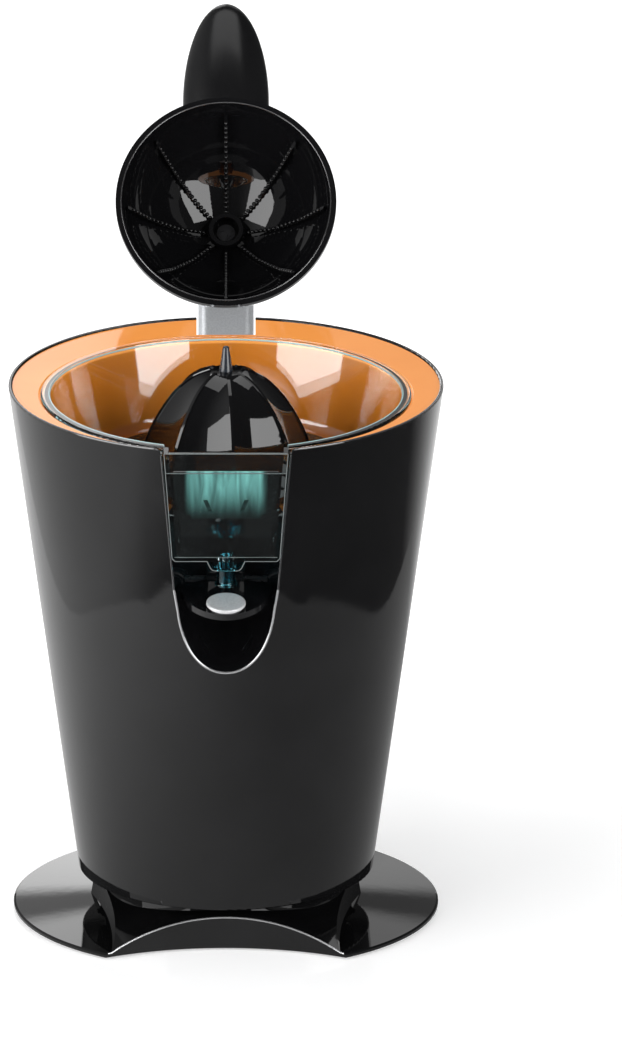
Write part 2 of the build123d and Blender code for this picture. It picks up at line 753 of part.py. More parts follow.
def valve_insert():
    """A knob on a small drilled disc that stands in the nozzle's funnel."""
    low = FUNNEL_Z
    valve = tube(FUNNEL_R - 0.1, 0, low, low + 1, 0, NOZZLE_Y)
    valve -= tube(0.8, 0, low - 1, low + 2, -2.1, NOZZLE_Y) + tube(0.8, 0, low - 1, low + 2, 2.1, NOZZLE_Y)
    return valve + tube(1.1, 0, low, low + 3, 0, NOZZLE_Y) + tube(2.7, 0, low + 2.2, low + 5.2, 0, NOZZLE_Y)


# ---- strainer and reamer ----

def strainer():
    low, high = STRAINER_LOW_Z, STRAINER_TOP_Z
    plate = tube(STRAINER_R, TUBE_R + 0.5, low, high, 0, BOWL_Y)
    plate += tube(STRAINER_R, STRAINER_R - 1.6, low - 1.2, high, 0, BOWL_Y)
    plate += tube(TUBE_R + 2.2, TUBE_R + 0.5, low - 1.2, high + 1, 0, BOWL_Y)
    for i in range(STRAINER_SLOTS):
        slot = Pos(0, BOWL_Y, 0) * Rot(0, 0, 360 * i / STRAINER_SLOTS) * Pos(50.5, 0, 0)
        plate -= slot * block((-6, 6), (-1.3, 1.3), (low - 1, high + 1))
    return plate


def strainer_apron():
    """Plate behind the window with two slanted slits, held by a shelf on the strainer's rim."""
    low, high, thick = APRON_LOW_Z, APRON_TOP_Z, APRON_THICK
    face = outline(
        (-APRON_LOW_HALF, low, 8), (APRON_LOW_HALF, low, 8),
        (APRON_TOP_HALF, high, 1), (-APRON_TOP_HALF, high, 1),
    )
    near = WINDOW_WALL + APRON_GAP
    side = outline(
        (window_y(low - 5, near), low - 5), (window_y(low - 5, near + thick), low - 5),
        (window_y(high + 5, near + thick), high + 5), (window_y(high + 5, near), high + 5),
    )
    apron = front_prism(face, -110, -60) & side_prism(side, 40)
    for sign in (-1, 1):
        slit = outline(
            (sign * 10.6, low + 7.6), (sign * 8.4, low + 7.6),
            (sign * 6.2, low + 1.6), (sign * 8.2, low + 1.6),
        )
        apron -= front_prism(slit, -110, -60)
    shelf_y = (window_y(low, near), BOWL_Y - STRAINER_R + 7)
    return apron + block((-SHELF_HALF, SHELF_HALF), shelf_y, (STRAINER_TOP_Z, low + 0.8))


def thrust_washer():
    return tube(TUBE_R - 0.6, SOCKET_R - 2, SOCKET_LOW_Z - 1.5, SOCKET_LOW_Z - 0.3, 0, BOWL_Y)


def fluted(ridge_r):
    """The reamer's cross-section: ridges joined by shallow hollow arcs."""
    count = REAMER_RIDGES
    arcs = []
    for i in range(count):
        angles = [radians(REAMER_TURN - 90) + 2 * pi * (i + share) / count for share in (0, 0.5, 1)]
        valley = ridge_r * cos(pi / count) * FLUTE_SHARE
        points = [
            (r * cos(angle), r * sin(angle))
            for r, angle in zip((ridge_r, valley, ridge_r), angles)
        ]
        arcs.append(ThreePointArc(*points))
    return make_face(arcs)


def ridge_fin():
    """One thin ridge that follows the dome's outline and ends in a small tooth at the top."""
    lines = [(r + 0.5, z) for z, r in REAMER_SECTIONS]
    face = make_face([
        Spline(*lines),
        Polyline(lines[-1], (7.5, 263.8), (6, 262), (30, REAMER_SECTIONS[0][0]), lines[0]),
    ])
    return extrude(Plane.XZ * face, 0.7, both=True)


def reamer_cone():
    dome = loft([Pos(0, 0, z) * fluted(r) for z, r in REAMER_SECTIONS])
    fin = ridge_fin()
    for i in range(REAMER_RIDGES):
        dome += Rot(0, 0, REAMER_TURN - 90 + 360 * i / REAMER_RIDGES) * fin
    base = REAMER_SECTIONS[0][0]
    share = cos(pi / REAMER_RIDGES) * FLUTE_SHARE
    hollow = [(r * share - REAMER_WALL, z - 0.6 * REAMER_WALL) for z, r in REAMER_SECTIONS[1:-1]]
    dome -= turned((0, base - 1), (38.8 * share - REAMER_WALL, base - 1), *hollow, (0, hollow[-1][1]))
    dome -= tube(POINT_ROOT_R - 0.6, 0, 250, 270)
    return Pos(0, BOWL_Y, 0) * dome


def reamer_point():
    root = REAMER_SECTIONS[-1][0]
    top = REAMER_SECTIONS[-2][0] - 0.6 * REAMER_WALL
    return turned(
        (0, top), (POINT_ROOT_R - 0.6, top), (POINT_ROOT_R - 0.6, root), (POINT_ROOT_R, root),
        (POINT_TIP_R, POINT_TIP_Z, 1.1), (0, POINT_TIP_Z), y=BOWL_Y,
    )


def drive_socket():
    top = REAMER_SECTIONS[-2][0] - 0.6 * REAMER_WALL
    socket = tube(SOCKET_R, 0, SOCKET_LOW_Z, top, 0, BOWL_Y)
    socket += tube(12, 0, top - 2, top, 0, BOWL_Y)
    return socket - hexagon(SOCKET_LOW_Z - 1, SPINDLE_TOP_Z + 0.2, HEX_FLATS + 2 * HEX_PLAY)


# ---- drip lever, built raised ----

def lowered(shape):
    return shape.rotate(Axis((0, LEVER_Y, LEVER_Z), (1, 0, 0)), LEVER_DROP)


def drip_lever():
    front = EllipticalCenterArc(
        (0, LEVER_ROOT_Y), LEVER_HALF, LEVER_ROOT_Y - LEVER_TIP_Y, start_angle=180, arc_size=180
    )
    back = Polyline(front @ 1, (LEVER_BARREL_HALF, LEVER_Y - 3), (LEVER_BARREL_HALF, LEVER_Y),
                    (-LEVER_BARREL_HALF, LEVER_Y), (-LEVER_BARREL_HALF, LEVER_Y - 3), front @ 0)
    low = LEVER_Z - 2
    tongue = Pos(0, 0, low) * extrude(make_face([front, back]), LEVER_THICK)
    barrel = Pos(0, LEVER_Y, LEVER_Z) * Rot(0, 90, 0)
    tongue += barrel * Cylinder(LEVER_BARREL_R, 2 * LEVER_BARREL_HALF)
    tongue -= barrel * Cylinder(LEVER_PIN_R + RUNNING, 60)
    tongue -= tube(PAD_R - 3, 0, low + 1, low + 10, 0, PAD_Y)
    return lowered(tongue)


def drip_pad():
    low = LEVER_Z + 1
    pad = turned(
        (0, low - 2), (PAD_R - 3, low - 2), (PAD_R - 3, low), (PAD_R - 1.6, low),
        (PAD_R - 1.6, low + 1), (PAD_R, low + 1, 0.4), (PAD_R, low + 2.6, 0.7), (0, low + 2.6),
        y=PAD_Y,
    )
    return lowered(pad)


# ---- arm, built closed ----

def opened(shape):
    return shape.rotate(Axis((0, PIVOT_Y, PIVOT_Z), (1, 0, 0)), -OPEN_ANGLE)


def arm_point(forward, up):
    return (0, PIVOT_Y - forward, PIVOT_Z + up)


def arm_beam():
    path = FilletPolyline(
        arm_point(0, 0), arm_point(0, ARM_RISE), arm_point(ARM_END, ARM_RISE), radius=ARM_BEND_R
    )
    section = Plane(origin=arm_point(0, 0), x_dir=(1, 0, 0), z_dir=(0, 0, 1))
    beam = sweep(section * RectangleRounded(2 * ARM_HALF, ARM_THICK, 4.5), path=path)
    hinge = Pos(0, PIVOT_Y, PIVOT_Z) * Rot(0, 90, 0)
    beam += hinge * Cylinder(BARREL_R, 2 * ARM_HALF)
    beam -= hinge * Cylinder(HINGE_PIN_R + RUNNING, 60)
    beam += tang(0)
    screw = tube(2, 0, CUP_RIM_Z, PIVOT_Z + ARM_RISE + 2, 0, BOWL_Y)
    return opened(beam - screw)


def tang(play):
    """The tongue at the beam's end that the handle slides on to."""
    width, length, height = (size + 2 * play for size in TANG)
    y = PIVOT_Y - ARM_END - length / 2 + play
    return Pos(0, y, PIVOT_Z + ARM_RISE) * Box(width, length, height)


def arm_handle():
    centre = arm_point(HANDLE_TIP - HANDLE_NOSE, HANDLE_RISE)
    nose = scale(Sphere(1), (HANDLE_HALF, HANDLE_NOSE, HANDLE_HALF_HEIGHT))
    tail = scale(Sphere(1), (HANDLE_HALF, HANDLE_TAIL, HANDLE_HALF_HEIGHT))
    nose &= block((-30, 30), (-60, 0), (-30, 30))
    tail &= block((-30, 30), (0, HANDLE_TIP - HANDLE_NOSE - ARM_END), (-30, 30))
    return opened(Pos(*centre) * (nose + tail) - tang(0))


def press_cup():
    rim, apex = CUP_RIM_Z, CUP_RIM_Z + CUP_DEPTH
    step = rim + CUP_STEP
    inner = [
        Spline((CUP_MOUTH_R, rim), (46, rim + 12), (CUP_STEP_R + 0.5, step)),
        Line((CUP_STEP_R + 0.5, step), (CUP_STEP_R, step)),
        Spline((CUP_STEP_R, step), (22, apex - 7), (0, apex), tangents=[(-0.75, 1), (-1, 0)]),
    ]
    wall = CUP_WALL
    outer = [
        Line((0, apex), (0, apex + wall)),
        Spline((0, apex + wall), (23.2, apex - 7 + wall), (CUP_STEP_R + wall + 0.3, step + 1),
               (46 + wall, rim + 12), (CUP_MOUTH_R + wall, rim + 2.8), tangents=[(1, 0), (0.2, -1)]),
        Polyline((CUP_MOUTH_R + wall, rim + 2.8), (CUP_R, rim + 2.8), (CUP_R, rim),
                 (CUP_MOUTH_R, rim)),
    ]
    cup = revolve(Plane.XZ * make_face(inner + outer), Axis.Z)
    boss = tube(CUP_BOSS_R, CUP_BOSS_R - 2, apex - CUP_BOSS, apex + 1)
    stub = tube(9, 0, apex, PIVOT_Z + ARM_RISE - ARM_THICK / 2)
    cup += boss + stub
    for i in range(CUP_RIBS):
        cup += Rot(0, 0, 360 * i / CUP_RIBS) * cup_rib()
    cup -= tube(2, 0, rim, PIVOT_Z + 90) + tube(CUP_BOSS_R - 2, 0, rim, apex)
    return opened(Pos(0, BOWL_Y, 0) * cup)


def cup_rib():
    """One thin rib inside the cup, from its rim to the boss."""
    rim, apex = CUP_RIM_Z, CUP_RIM_Z + CUP_DEPTH
    face = make_face([
        Spline((45.4, rim + 8), (35, rim + 24.5), (21.5, apex - 8.4), (7.5, apex - 2.4)),
        Polyline((7.5, apex - 2.4), (7.5, apex + 1), (22, apex - 5.8), (37.6, rim + 26.5),
                 (46.9, rim + 13), (45.4, rim + 8)),
    ])
    return extrude(Plane.XZ * face, 0.7, both=True)


def cup_screw():
    apex = CUP_RIM_Z + CUP_DEPTH
    screw = tube(2, 0, apex - 3, PIVOT_Z + ARM_RISE + 2) + tube(4.2, 0, apex - 3, apex)
    return opened(Pos(0, BOWL_Y, 0) * screw)


NODES = {
    "outer_shell": outer_shell,
    "bowl_seat": bowl_seat,
    "spout_niche": spout_niche,
    "arm_bracket": arm_bracket,
    "hinge_pin": hinge_pin,
    "lever_pin": lever_pin,
    "foot_plate": foot_plate,
    "base_cover": base_cover,
    "base_screws": base_screws,
    "leg_screws": leg_screws,
    "rubber_feet": rubber_feet,
    "non_slip_ring": non_slip_ring,
    "cable_gland": cable_gland,
    "gearbox_base": gearbox_base,
    "gearbox_cover": gearbox_cover,
    "gearbox_screws": gearbox_screws,
    "gear_axle": gear_axle,
    "motor_can": motor_can,
    "motor_end_cap": motor_end_cap,
    "motor_stator": motor_stator,
    "spindle_bush": spindle_bush,
    "shaft_seal": shaft_seal,
    "micro_switch": micro_switch,
    "rotor_core": rotor_core,
    "rotor_shaft": rotor_shaft,
    "pinion": pinion,
    "compound_gear": compound_gear,
    "output_gear": output_gear,
    "drive_spindle": drive_spindle,
    "switch_plate": switch_plate,
    "spindle_spring": spindle_spring,
    "switch_button": switch_button,
    "juice_bowl": juice_bowl,
    "spout_nozzle": spout_nozzle,
    "valve_insert": valve_insert,
    "strainer": strainer,
    "strainer_apron": strainer_apron,
    "thrust_washer": thrust_washer,
    "reamer_cone": reamer_cone,
    "reamer_point": reamer_point,
    "drive_socket": drive_socket,
    "drip_lever": drip_lever,
    "drip_pad": drip_pad,
    "arm_beam": arm_beam,
    "arm_handle": arm_handle,
    "press_cup": press_cup,
    "cup_screw": cup_screw,
}

os.makedirs("parts", exist_ok=True)
for name, make in NODES.items():
    export_step(make(), f"parts/{name}.step")
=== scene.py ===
"""The looks of the citrus press juicer: materials, fine trim, studio and camera.

Everything is in metres, in the row frame: +Z up, -Y the front, the origin on the worktop.
"""

import json
import math

import bmesh
import bpy
from mathutils import Matrix, Vector


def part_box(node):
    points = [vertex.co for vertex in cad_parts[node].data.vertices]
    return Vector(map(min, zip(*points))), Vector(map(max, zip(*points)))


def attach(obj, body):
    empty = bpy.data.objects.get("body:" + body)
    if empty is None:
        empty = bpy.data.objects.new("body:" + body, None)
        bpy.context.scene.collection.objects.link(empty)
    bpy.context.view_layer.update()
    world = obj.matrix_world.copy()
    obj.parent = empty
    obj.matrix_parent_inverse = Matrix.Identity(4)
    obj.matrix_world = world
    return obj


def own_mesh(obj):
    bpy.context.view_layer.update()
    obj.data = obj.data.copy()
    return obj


MM = 0.001
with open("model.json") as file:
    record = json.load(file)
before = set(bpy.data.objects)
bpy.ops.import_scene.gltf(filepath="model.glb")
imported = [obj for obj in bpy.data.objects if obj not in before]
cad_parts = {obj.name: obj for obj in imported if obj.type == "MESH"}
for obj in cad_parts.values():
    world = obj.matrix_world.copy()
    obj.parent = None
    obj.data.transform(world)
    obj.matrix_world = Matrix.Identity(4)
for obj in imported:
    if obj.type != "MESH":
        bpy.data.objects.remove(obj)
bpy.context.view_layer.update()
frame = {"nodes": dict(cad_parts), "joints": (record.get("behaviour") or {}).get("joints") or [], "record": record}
JOINTS = {joint["name"]: joint for joint in frame["joints"]}

# ---- sizes that the trim follows ----

SHELL_LOW, SHELL_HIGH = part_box("outer_shell")
RIM_Z = SHELL_HIGH.z
RIM_R = SHELL_HIGH.x
BASE_Z = SHELL_LOW.z
BASE_R = 67.9 * MM
WINDOW_LOW, WINDOW_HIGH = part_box("juice_bowl")
WINDOW_TOP_Y = -98.0 * MM
WINDOW_LOW_Y = -92.0 * MM
WINDOW_TOP_HALF = 28.3 * MM
WINDOW_LOW_HALF = 24.4 * MM
WINDOW_TOP_Z = 251.0 * MM
WINDOW_BROW_Z = 241.0 * MM
AXIS_Y = (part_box("drive_spindle")[0].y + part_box("drive_spindle")[1].y) / 2
PIVOT = Vector(JOINTS["arm_hinge"]["pos_m"])
OPEN_ANGLE = math.radians(JOINTS["arm_hinge"]["range_deg"][0])

# The seat: where its funnel ends and its flat ledge begins, and where its painted paler colour and painted glow
# start
LEDGE_LOW_Z = 248.5 * MM
LEDGE_HIGH_Z = 249.5 * MM

# The strainer's front apron: where its painted teal glow fades, across and down
APRON_PAINTED_GLOW_HALF = (14.5 * MM, 19.5 * MM)
APRON_PAINTED_GLOW_Z = (217.0 * MM, 239.0 * MM)

# Front slot, rear notch, rim, and the foot's round front bite
SLOT_TOP_HALF = 29.9 * MM
SLOT_LOW_HALF = 23.8 * MM
SLOT_LOW_Z = 182.0 * MM
SLOT_WAIST_HALF = 22.0 * MM
SLOT_WAIST_Z = 171.0 * MM
SLOT_END_Z = 141.0 * MM
# Below this height the slot's edge bead is a painted highlight in silver metal.
SLOT_PAINTED_HIGHLIGHT_Z = 173.0 * MM
SLOT_LINE_TOP_Z = RIM_Z - 3.2 * MM
NOTCH_HALF = 13.9 * MM
RIM_EDGE_R = RIM_R - 0.45 * MM
BITE_NEAR_Y = 65.0 * MM
BITE_R = 118.65 * MM
BITE_HALF = 54.2 * MM
BITE_LINE_LOW_Z = 2.3 * MM
BOWL_MOUTH_R = 81.0 * MM

# The trough below the window: (half width, depth) in mm, from its mouth down
TROUGH = ((8.6, 0.0), (8.1, 1.2), (7.2, 3.2), (6.2, 4.4), (5.0, 4.7))

# Press cup, as it stands when closed over the reamer
CUP_RIM_Z = 240.0 * MM
CUP_MOUTH_R = 48.7 * MM
RIB_COUNT = 8
# The crest of one rib: (radius, height over the rim plane)
RIB_CREST = ((45.4, 8.0), (35.0, 24.5), (21.5, 38.4), (7.5, 44.4))
TEETH_PER_RIB = 19
TOOTH = Vector((1.15, 1.0, 0.95)) * MM
FIRST_TOOTH = 0.25
LAST_TOOTH = 2.8


# ---- materials ----

class Surface:
    """A material with a Principled shader, and the noise that gives its colour and gloss detail."""

    def __init__(self, name, color, rough, **settings):
        self.material = bpy.data.materials.new(name)
        self.material.use_nodes = True
        self.nodes = self.material.node_tree.nodes
        self.links = self.material.node_tree.links
        self.shader = self.nodes["Principled BSDF"]
        self.place = self.nodes.new("ShaderNodeTexCoord").outputs["Object"]
        self.shader.inputs["Base Color"].default_value = (*color, 1)
        self.shader.inputs["Roughness"].default_value = rough
        for socket, value in settings.items():
            self.shader.inputs[socket.replace("_", " ")].default_value = value

    def noise(self, scale, stretch=(1, 1, 1), detail=3.0, distortion=0.0):
        mapping = self.nodes.new("ShaderNodeMapping")
        mapping.inputs["Scale"].default_value = stretch
        self.links.new(self.place, mapping.inputs["Vector"])
        noise = self.nodes.new("ShaderNodeTexNoise")
        noise.inputs["Scale"].default_value = scale
        noise.inputs["Detail"].default_value = detail
        noise.inputs["Distortion"].default_value = distortion
        self.links.new(mapping.outputs["Vector"], noise.inputs["Vector"])
        return noise.outputs["Fac"]

    def spread(self, value, low, high, start=0.3, end=0.7):
        """A value mapped to run from low to high."""
        node = self.nodes.new("ShaderNodeMapRange")
        node.inputs["From Min"].default_value = start
        node.inputs["From Max"].default_value = end
        node.inputs["To Min"].default_value = low
        node.inputs["To Max"].default_value = high
        self.links.new(value, node.inputs["Value"])
        return node.outputs["Result"]

    def roughness(self, low, high, scale, stretch=(1, 1, 1)):
        value = self.spread(self.noise(scale, stretch), low, high)
        self.links.new(value, self.shader.inputs["Roughness"])
        return self

    def colors(self, first, second, scale, stretch=(1, 1, 1)):
        ramp = self.nodes.new("ShaderNodeValToRGB")
        ramp.color_ramp.elements[0].color = (*first, 1)
        ramp.color_ramp.elements[0].position = 0.35
        ramp.color_ramp.elements[1].color = (*second, 1)
        ramp.color_ramp.elements[1].position = 0.65
        self.links.new(self.noise(scale, stretch), ramp.inputs["Fac"])
        self.links.new(ramp.outputs["Color"], self.shader.inputs["Base Color"])
        return self

    def relief(self, scale, height, stretch=(1, 1, 1), detail=3.0):
        """Fine bumps of the given height in metres."""
        bump = self.nodes.new("ShaderNodeBump")
        bump.inputs["Strength"].default_value = 1.0
        bump.inputs["Distance"].default_value = height
        self.links.new(self.noise(scale, stretch, detail), bump.inputs["Height"])
        self.links.new(bump.outputs["Normal"], self.shader.inputs["Normal"])
        return self

    def lets_lamps_through(self, color=(1, 1, 1)):
        """Lamps shine through the clear material, so what is behind it is lit."""
        path = self.nodes.new("ShaderNodeLightPath")
        clear = self.nodes.new("ShaderNodeBsdfTransparent")
        clear.inputs["Color"].default_value = (*color, 1)
        mix = self.nodes.new("ShaderNodeMixShader")
        self.links.new(path.outputs["Is Shadow Ray"], mix.inputs["Fac"])
        self.links.new(self.shader.outputs["BSDF"], mix.inputs[1])
        self.links.new(clear.outputs["BSDF"], mix.inputs[2])
        self.links.new(mix.outputs["Shader"], self.nodes["Material Output"].inputs["Surface"])
        return self


def ramp_value(nodes, links, source, start, end, low, high):
    """A smooth step from low to high as the source goes from start to end."""
    node = nodes.new("ShaderNodeMapRange")
    node.interpolation_type = "SMOOTHSTEP"
    for socket, value in (("From Min", start), ("From Max", end), ("To Min", low), ("To Max", high)):
        node.inputs[socket].default_value = value
    links.new(source, node.inputs["Value"])
    return node.outputs["Result"]


def combine(nodes, links, operation, first, second):
    """One arithmetic step on two values."""
    node = nodes.new("ShaderNodeMath")
    node.operation = operation
    links.new(first, node.inputs[0])
    links.new(second, node.inputs[1])
    return node.outputs["Value"]


def gloss_black():
    """High-gloss moulded black: a trace of orange peel and faint wiping marks."""
    surface = Surface("gloss_black", (0.0035, 0.0035, 0.0038), 0.04, Specular_IOR_Level=0.5)
    surface.colors((0.0028, 0.0028, 0.003), (0.0042, 0.0042, 0.0045), 30)
    surface.roughness(0.03, 0.05, 14, (1, 1, 0.25))
    return surface.relief(160, 0.000012).material


def mirror_black():
    surface = Surface("mirror_black", (0.004, 0.004, 0.0045), 0.03, Specular_IOR_Level=0.5)
    surface.roughness(0.02, 0.04, 40)
    return surface.relief(300, 0.000003).material


def polished_edge():
    """Buffed black edge that carries a crisp highlight."""
    surface = Surface("polished_edge", (0.02, 0.02, 0.021), 0.1, IOR=2.2)
    surface.roughness(0.07, 0.13, 60)
    return surface.relief(400, 0.000004).material


def painted_highlight_edge():
    """Polished edge of a gloss black piece where it turns towards the lamps, painted light silver metal as a
    painted highlight.
    """
    # Painted highlight: the black piece's edge is given a light silver metal colour so it shows as a bright line.
    surface = Surface("painted_highlight_edge", (0.62, 0.62, 0.63), 0.18, Metallic=0.8)
    surface.roughness(0.14, 0.24, 60)
    return surface.relief(400, 0.000004).material


def clear_edge_painted_glow():
    """Thin edge of clear plastic, painted pale with a faint painted glow that stands in for the light it gathers.
    """
    surface = Surface("clear_edge_painted_glow", (0.1, 0.11, 0.11), 0.2, Emission_Strength=0.03)
    # Painted glow: a faint pale teal emission on the edge.
    surface.shader.inputs["Emission Color"].default_value = (0.8, 0.95, 0.95, 1)
    surface.roughness(0.14, 0.26, 120)
    return surface.relief(500, 0.000004).material


def blackened_steel():
    surface = Surface("blackened_steel", (0.022, 0.022, 0.024), 0.32, Metallic=0.5)
    surface.roughness(0.24, 0.4, 400)
    return surface.relief(1200, 0.000008).material


def apron_black():
    """Gloss black plate with a painted pale teal glow standing in for light on it, streaked from its top
    downwards.
    """
    surface = Surface("apron_black", (0.004, 0.005, 0.005), 0.06, Specular_IOR_Level=0.5)
    nodes, links = surface.nodes, surface.links
    split = nodes.new("ShaderNodeSeparateXYZ")
    links.new(surface.place, split.inputs["Vector"])
    side = nodes.new("ShaderNodeMath")
    side.operation = "ABSOLUTE"
    links.new(split.outputs["X"], side.inputs[0])
    across = ramp_value(nodes, links, side.outputs["Value"], *APRON_PAINTED_GLOW_HALF, 1.0, 0.0)
    down = ramp_value(nodes, links, split.outputs["Z"], *APRON_PAINTED_GLOW_Z, 0.02, 1.0)
    glow_streaks = surface.spread(surface.noise(1.0, (240, 240, 22), 2.0, 0.6), 0.35, 1.25)
    painted_glow = combine(nodes, links, "MULTIPLY", combine(nodes, links, "MULTIPLY", across, down), glow_streaks)
    # Painted glow: a teal emission, strongest at the plate's top middle, stands in for light falling on it.
    surface.shader.inputs["Emission Color"].default_value = (0.2, 0.54, 0.5, 1)
    links.new(painted_glow, surface.shader.inputs["Emission Strength"])
    return surface.relief(300, 0.000004).material


def seat_orange():
    """Gloss orange: the flat ledge painted paler than the deeper orange funnel and given a faint painted glow, as
    painted light on the top face.
    """
    surface = Surface("seat_orange", (0.86, 0.3, 0.05), 0.08, IOR=1.28)
    nodes, links = surface.nodes, surface.links
    split = nodes.new("ShaderNodeSeparateXYZ")
    links.new(surface.place, split.inputs["Vector"])
    # Painted light: the ledge is painted paler than the funnel, as if lit from above.
    height = ramp_value(nodes, links, split.outputs["Z"], LEDGE_LOW_Z, LEDGE_HIGH_Z, 0.0, 0.8)
    grain = surface.spread(surface.noise(18), 0.0, 0.2)
    ramp = nodes.new("ShaderNodeValToRGB")
    ramp.color_ramp.elements[0].color = (0.6, 0.16, 0.012, 1)
    ramp.color_ramp.elements[1].color = (0.95, 0.35, 0.08, 1)
    links.new(combine(nodes, links, "ADD", height, grain), ramp.inputs["Fac"])
    links.new(ramp.outputs["Color"], surface.shader.inputs["Base Color"])
    links.new(ramp.outputs["Color"], surface.shader.inputs["Emission Color"])
    # Painted glow: the ledge gives off a faint light of its own orange.
    painted_ledge_glow = ramp_value(nodes, links, split.outputs["Z"], LEDGE_LOW_Z, LEDGE_HIGH_Z, 0.0, 0.25)
    links.new(painted_ledge_glow, surface.shader.inputs["Emission Strength"])
    surface.roughness(0.05, 0.1, 25)
    return surface.relief(220, 0.000006).material


def bowl_clear():
    surface = Surface(
        "bowl_clear", (0.96, 0.99, 0.99), 0.015, IOR=1.58, Transmission_Weight=1.0,
    )
    surface.roughness(0.008, 0.03, 35)
    surface.lets_lamps_through((0.93, 0.98, 0.98))
    absorption = surface.nodes.new("ShaderNodeVolumeAbsorption")
    absorption.inputs["Color"].default_value = (0.45, 0.86, 0.9, 1)
    absorption.inputs["Density"].default_value = 20
    output = surface.nodes["Material Output"]
    surface.links.new(absorption.outputs["Volume"], output.inputs["Volume"])
    return surface.relief(90, 0.000006).material


def lip_clear_painted_glow():
    """Edge of the clear rim, with a painted glow standing in for the light that the plastic carries out of it."""
    surface = Surface(
        "lip_clear_painted_glow", (0.55, 0.8, 0.82), 0.12, IOR=1.5, Transmission_Weight=0.6,
        Emission_Strength=0.1,
    )
    # Painted glow: a pale teal emission on the rim's lip.
    surface.shader.inputs["Emission Color"].default_value = (0.55, 0.85, 0.88, 1)
    surface.roughness(0.08, 0.2, 90)
    return surface.relief(300, 0.000006).material


def nozzle_clear():
    surface = Surface(
        "nozzle_clear", (0.12, 0.5, 0.6), 0.03, IOR=1.5, Transmission_Weight=1.0,
    )
    surface.roughness(0.02, 0.06, 200)
    surface.lets_lamps_through((0.6, 0.92, 0.95))
    return surface.relief(500, 0.000004).material


def satin_black():
    surface = Surface("satin_black", (0.005, 0.005, 0.0055), 0.2, Specular_IOR_Level=0.3)
    surface.colors((0.005, 0.005, 0.0055), (0.007, 0.007, 0.0075), 25)
    surface.roughness(0.17, 0.24, 60)
    return surface.relief(2600, 0.00002, detail=2).material


def point_black():
    surface = Surface("point_black", (0.02, 0.024, 0.032), 0.2, Specular_IOR_Level=0.6)
    surface.roughness(0.14, 0.24, 250)
    return surface.relief(900, 0.000008).material


def satin_silver():
    """Silver lacquer over metal, with a fine pearl grain."""
    surface = Surface("satin_silver", (0.66, 0.68, 0.71), 0.34, Metallic=0.6)
    surface.colors((0.62, 0.64, 0.665), (0.71, 0.73, 0.755), 1400)
    surface.roughness(0.28, 0.38, 300, (1, 1, 0.3))
    return surface.relief(1800, 0.000008).material


def pad_silver():
    surface = Surface("pad_silver", (0.56, 0.56, 0.57), 0.42, Metallic=0.35)
    surface.colors((0.52, 0.52, 0.53), (0.6, 0.6, 0.61), 900)
    surface.roughness(0.36, 0.48, 400)
    return surface.relief(1500, 0.000012).material


def turned_steel():
    surface = Surface("turned_steel", (0.55, 0.56, 0.58), 0.3, Metallic=1.0)
    surface.colors((0.48, 0.49, 0.51), (0.6, 0.61, 0.63), 300, (1, 1, 6))
    surface.roughness(0.2, 0.36, 500, (1, 1, 8))
    return surface.relief(900, 0.000006, (1, 1, 8)).material


def plated_steel():
    surface = Surface("plated_steel", (0.36, 0.37, 0.38), 0.38, Metallic=0.9)
    surface.colors((0.3, 0.31, 0.32), (0.42, 0.43, 0.44), 60)
    surface.roughness(0.3, 0.45, 120, (1, 1, 5))
    return surface.relief(500, 0.00001, (1, 1, 5)).material


def laminated_iron():
    """A stack of thin iron sheets."""
    surface = Surface("laminated_iron", (0.16, 0.15, 0.15), 0.55, Metallic=0.7)
    surface.colors((0.09, 0.085, 0.085), (0.22, 0.21, 0.2), 40, (0.2, 0.2, 60))
    surface.roughness(0.45, 0.65, 80, (1, 1, 20))
    return surface.relief(40, 0.0001, (0.2, 0.2, 60)).material


def sintered_bronze():
    surface = Surface("sintered_bronze", (0.42, 0.26, 0.11), 0.45, Metallic=0.95)
    surface.colors((0.34, 0.2, 0.08), (0.48, 0.31, 0.14), 700)
    surface.roughness(0.36, 0.55, 900)
    return surface.relief(2500, 0.00002).material


def gear_nylon():
    surface = Surface(
        "gear_nylon", (0.72, 0.7, 0.62), 0.45, Subsurface_Weight=0.15, Subsurface_Scale=0.002
    )
    surface.colors((0.68, 0.66, 0.58), (0.75, 0.73, 0.66), 60)
    surface.roughness(0.38, 0.52, 150)
    return surface.relief(700, 0.00001).material


def button_red():
    surface = Surface("button_red", (0.4, 0.02, 0.012), 0.3)
    surface.roughness(0.22, 0.36, 300)
    return surface.relief(1200, 0.00001).material


def rubber():
    surface = Surface("rubber", (0.014, 0.014, 0.014), 0.75, Specular_IOR_Level=0.35)
    surface.colors((0.011, 0.011, 0.011), (0.02, 0.02, 0.019), 120)
    surface.roughness(0.68, 0.85, 200)
    return surface.relief(1600, 0.00004).material


def moulded_plastic():
    """Spark-eroded black plastic of the pieces inside and underneath."""
    surface = Surface("moulded_plastic", (0.022, 0.022, 0.023), 0.55)
    surface.colors((0.018, 0.018, 0.019), (0.026, 0.026, 0.027), 45)
    surface.roughness(0.48, 0.62, 90)
    return surface.relief(2200, 0.00003).material


